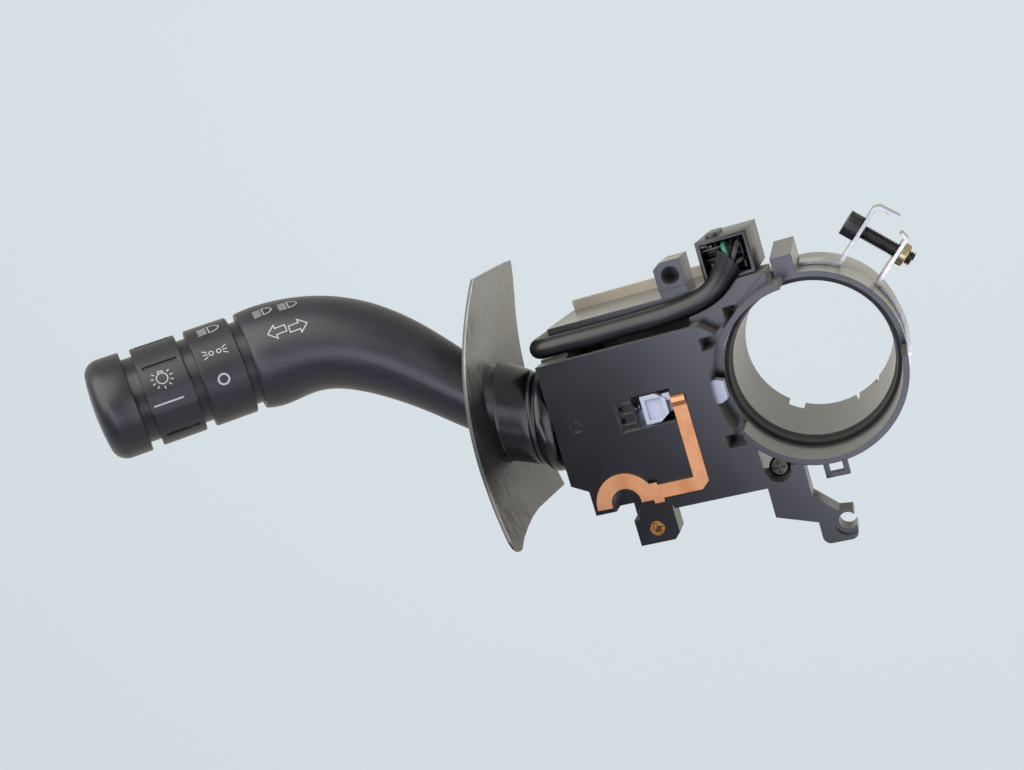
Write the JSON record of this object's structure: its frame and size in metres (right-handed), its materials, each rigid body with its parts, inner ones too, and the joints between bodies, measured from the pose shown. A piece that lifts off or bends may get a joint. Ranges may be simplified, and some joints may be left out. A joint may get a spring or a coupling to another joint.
{
  "type": "combination stalk switch",
  "caption": "Steering-column combination switch: clamp-on collar housing with a turn and beam lever, rotary light ring, push cap, cancel pawl, slot cover and wiring connector.",
  "frame": {"origin": "on the column bore axis, in the plane of the collar edge nearest the steering wheel", "axes": "+Z along the column towards the driver, +X from the lever towards the column, +Y across the housing towards the connector"},
  "size_m": [0.2206, 0.1017, 0.0978],
  "materials": {
    "housing_black": "moulded glass-filled nylon, fine texture",
    "stalk_black": "satin moulded plastic, fine grain",
    "knob_black": "satin moulded plastic, fine grain",
    "cover_black": "thin moulded sheet, lightly scuffed",
    "rubber_black": "glossy moulded rubber",
    "sleeve_black": "soft vinyl tube",
    "guide_black": "smooth",
    "band_steel": "zinc plated",
    "black_oxide": "blackened steel",
    "nut_plated": "yellow zinc",
    "brass_gold": "turned",
    "copper_strip": "matt tarnished copper",
    "steel_bright": "plated",
    "board_phenolic": "phenolic paper board",
    "pom_white": "natural acetal",
    "connector_black": "moulded nylon",
    "wire_mixed": "vinyl insulation"
  },
  "bodies": {
    "housing": {"switch_housing": "housing_black", "guide_ring": "guide_black", "clamp_band": "band_steel", "clamp_screw": "black_oxide", "clamp_nut": "nut_plated", "brass_insert": "brass_gold", "plate_screw": "steel_bright", "contact_strip": "copper_strip", "terminal_board": "board_phenolic", "fixed_contacts": "brass_gold", "board_screws": "steel_bright", "connector_housing": "connector_black", "connector_terminals": "brass_gold", "harness_sleeve": "sleeve_black", "harness_wires": "wire_mixed", "detent_spring": "steel_bright", "pawl_spring": "steel_bright", "rubber_boot": "rubber_black"},
    "carrier": {"turn_carrier": "pom_white", "turn_wiper": "copper_strip", "dip_pin": "steel_bright"},
    "lever": {"lever_root": "stalk_black", "stalk_body": "stalk_black", "stalk_core": "knob_black", "symbol_ring": "knob_black", "light_contact_disc": "board_phenolic", "slot_cover": "cover_black", "cap_spring": "steel_bright"},
    "light_knob": {"light_ring": "knob_black", "light_wiper": "copper_strip"},
    "cap": {"end_cap": "knob_black"},
    "pawl": {"cancel_pawl": "pom_white"}
  },
  "joints": [
    {"name": "turn_signal", "type": "hinge", "parent": "housing", "child": "carrier", "pos_m": [-0.051, -0.009, -0.017], "axis": [0, 0, 1], "range_deg": [-11, 11], "deforming": ["rubber_boot"]},
    {"name": "beam_pull", "type": "hinge", "parent": "carrier", "child": "lever", "pos_m": [-0.051, -0.009, -0.017], "axis": [0.4958, 0.8684, 0], "range_deg": [0, 7], "stiffness_Nm_per_rad": 2, "springref_deg": -6.88, "deforming": ["rubber_boot"]},
    {"name": "light_select", "type": "hinge", "parent": "lever", "child": "light_knob", "pos_m": [-0.1449, 0.042, 0.0083], "axis": [-0.82, -0.02, 0.572], "range_deg": [0, 68]},
    {"name": "cap_push", "type": "slide", "parent": "lever", "child": "cap", "axis": [0.82, 0.02, -0.572], "range_m": [0, 0.002], "stiffness_N_per_m": 600, "springref_m": -0.0015, "deforming": ["cap_spring"]},
    {"name": "cancel_slide", "type": "slide", "parent": "housing", "child": "pawl", "axis": [1, 0, 0], "range_m": [-0.002, 0], "stiffness_N_per_m": 300, "springref_m": 0.002, "deforming": ["pawl_spring"]}
  ]
}
